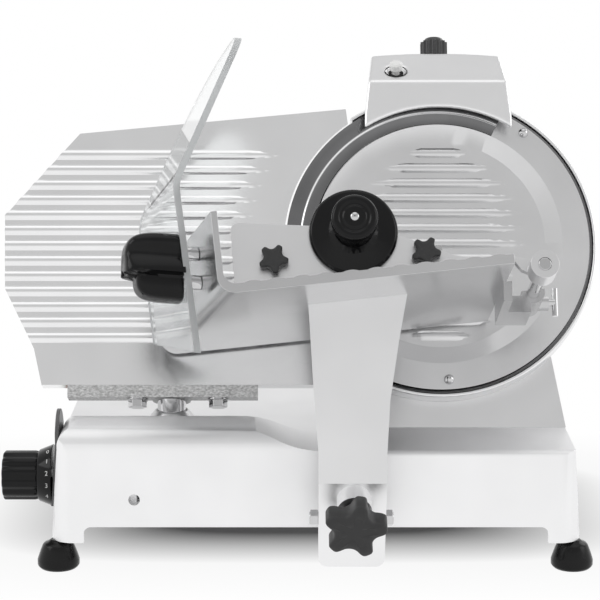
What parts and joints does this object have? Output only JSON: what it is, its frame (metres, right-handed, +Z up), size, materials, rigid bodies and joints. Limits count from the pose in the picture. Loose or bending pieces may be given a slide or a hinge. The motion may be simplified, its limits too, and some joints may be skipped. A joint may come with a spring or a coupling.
{
  "type": "electric food slicer",
  "caption": "Gravity-feed electric food slicer: leaning disc blade in a ring guard, ribbed thickness plate set by a dial, sliding tilting tray with press and clear hand guard, and a sharpener.",
  "frame": {"origin": "on the floor under the middle of the machine's overall box", "axes": "+X along the carriage travel towards the blade end, +Y from the carriage side to the slice side, +Z up"},
  "size_m": [0.4842, 0.3614, 0.412],
  "materials": {
    "cast_aluminium": "satin anodised",
    "machined_aluminium": "bare machined",
    "blade_steel": "polished",
    "steel": "turned",
    "chrome": "polished",
    "black_plastic": "gloss",
    "clear_sheet": "clear",
    "foot_rubber": "matte",
    "belt_rubber": "matte",
    "dark_plate": "satin",
    "motor_paint": "satin",
    "white_plastic": "gloss",
    "green_plastic": "gloss",
    "red_plastic": "gloss",
    "grit": "rough"
  },
  "bodies": {
    "base": {"base_casting": "cast_aluminium", "bottom_plate": "steel", "feet": "foot_rubber", "dial_bezel": "dark_plate", "switch_plate": "black_plastic", "cord_gland": "black_plastic", "blade_housing": "cast_aluminium", "belt_cover": "cast_aluminium", "motor_body": "motor_paint", "motor_cover": "cast_aluminium", "spindle_bearings": "steel", "ring_guard": "cast_aluminium", "blade_cover": "cast_aluminium", "cover_studs": "chrome", "drive_belt": "belt_rubber", "guide_rod": "chrome", "steady_rod": "chrome", "gauge_rod": "chrome", "sharpener_post": "chrome"},
    "spindle": {"slicer_blade": "blade_steel", "blade_spindle": "steel", "big_pulley": "machined_aluminium"},
    "rotor": {"motor_shaft": "steel", "small_pulley": "machined_aluminium"},
    "cover_release": {"cover_tie_rod": "steel", "cover_knob": "black_plastic"},
    "dial": {"dial_knob": "black_plastic", "dial_shaft": "steel", "dial_cam": "steel"},
    "gauge": {"gauge_plate": "cast_aluminium", "gauge_bracket": "machined_aluminium", "gauge_bolts": "chrome", "gauge_post": "chrome", "post_collar": "machined_aluminium", "gauge_slider": "machined_aluminium"},
    "carriage": {"carriage_block": "machined_aluminium", "tilt_axle": "chrome", "axle_nuts": "chrome"},
    "table": {"carriage_arm": "cast_aluminium", "product_tray": "cast_aluminium", "rod_guide": "cast_aluminium", "hand_guard": "clear_sheet", "carriage_handle": "black_plastic", "handle_spacers": "chrome"},
    "clamp": {"clamp_knob": "black_plastic", "clamp_screw": "steel"},
    "press_slide": {"press_rod": "chrome"},
    "press": {"press_plate": "cast_aluminium", "press_disc": "black_plastic", "press_spikes": "steel"},
    "left_star": {"left_star_knob": "black_plastic"},
    "right_star": {"right_star_knob": "black_plastic"},
    "press_lock": {"rod_lock": "chrome"},
    "sharpener": {"sharpener_housing": "cast_aluminium"},
    "grinder": {"grinding_stone": "grit"},
    "honer": {"honing_stone": "grit"},
    "sharpener_release": {"lift_knob": "black_plastic"},
    "sharpener_push": {"sharpening_button": "white_plastic"},
    "start": {"on_button": "green_plastic"},
    "stop": {"off_button": "red_plastic"}
  },
  "joints": [
    {"name": "blade_spin", "type": "hinge", "parent": "base", "child": "spindle", "pos_m": [0.1135, 0.055, 0.24], "axis": [0, -0.9063, 0.4226], "continuous": true},
    {"name": "motor_spin", "type": "hinge", "parent": "base", "child": "rotor", "pos_m": [0.1355, 0.01274, 0.14937], "axis": [0, -0.9063, 0.4226], "continuous": true},
    {"name": "cover_knob_turn", "type": "hinge", "parent": "base", "child": "cover_release", "pos_m": [0.1135, 0.11844, 0.21042], "axis": [0, -0.9063, 0.4226], "range_deg": [0, 360]},
    {"name": "dial_turn", "type": "hinge", "parent": "base", "child": "dial", "pos_m": [-0.2, -0.028, 0.067], "axis": [1, 0, 0], "range_deg": [0, 288]},
    {"name": "gauge_move", "type": "slide", "parent": "base", "child": "gauge", "axis": [0, 1, 0], "range_m": [0, 0.01324]},
    {"name": "carriage_slide", "type": "slide", "parent": "base", "child": "carriage", "axis": [1, 0, 0], "range_m": [-0.14, 0.12]},
    {"name": "table_tilt", "type": "hinge", "parent": "carriage", "child": "table", "pos_m": [0.039, -0.11, 0.056], "axis": [1, 0, 0], "range_deg": [0, 25]},
    {"name": "clamp_turn", "type": "hinge", "parent": "table", "child": "clamp", "pos_m": [0.0404, -0.1375, 0.0783], "axis": [0, -0.9272, -0.3746], "range_deg": [0, 360]},
    {"name": "press_advance", "type": "slide", "parent": "table", "child": "press_slide", "axis": [0, 0.9063, -0.4226], "range_m": [0, 0.053]},
    {"name": "press_swing", "type": "hinge", "parent": "press_slide", "child": "press", "pos_m": [0.179, -0.10867, 0.24394], "axis": [0, 0.9063, -0.4226], "range_deg": [0, 100]},
    {"name": "left_star_turn", "type": "hinge", "parent": "press", "child": "left_star", "pos_m": [-0.0195, -0.11465, 0.25478], "axis": [0, -0.9063, 0.4226], "range_deg": [0, 360]},
    {"name": "right_star_turn", "type": "hinge", "parent": "press", "child": "right_star", "pos_m": [0.093, -0.1122, 0.26004], "axis": [0, -0.9063, 0.4226], "range_deg": [0, 360]},
    {"name": "rod_lock_turn", "type": "hinge", "parent": "table", "child": "press_lock", "pos_m": [0.184, -0.02891, 0.20675], "axis": [1, 0, 0], "range_deg": [0, 180]},
    {"name": "sharpener_lift", "type": "slide", "parent": "base", "child": "sharpener", "axis": [0, 0.4226, 0.9063], "range_m": [0, 0.02]},
    {"name": "grinder_spin", "type": "hinge", "parent": "sharpener", "child": "grinder", "pos_m": [0.092, 0.14262, 0.35692], "axis": [0, -0.9063, 0.4226], "continuous": true},
    {"name": "honer_spin", "type": "hinge", "parent": "sharpener", "child": "honer", "pos_m": [0.135, 0.14262, 0.35692], "axis": [0, -0.9063, 0.4226], "continuous": true},
    {"name": "lift_knob_turn", "type": "hinge", "parent": "sharpener", "child": "sharpener_release", "pos_m": [0.1135, 0.15313, 0.38182], "axis": [0, 0.4226, 0.9063], "range_deg": [0, 360]},
    {"name": "sharpener_press", "type": "slide", "parent": "sharpener", "child": "sharpener_push", "axis": [0, 0.421, -0.907], "range_m": [0, 0.0025], "stiffness_N_per_m": 300},
    {"name": "start_press", "type": "slide", "parent": "base", "child": "start", "axis": [1, 0, 0], "range_m": [0, 0.003], "stiffness_N_per_m": 300},
    {"name": "stop_press", "type": "slide", "parent": "base", "child": "stop", "axis": [1, 0, 0], "range_m": [0, 0.003], "stiffness_N_per_m": 300}
  ],
  "couplings": [
    {"joint": "motor_spin", "follows": "blade_spin", "ratio": 3.6923},
    {"joint": "dial_turn", "follows": "gauge_move", "rad_per_m": 379.62}
  ]
}
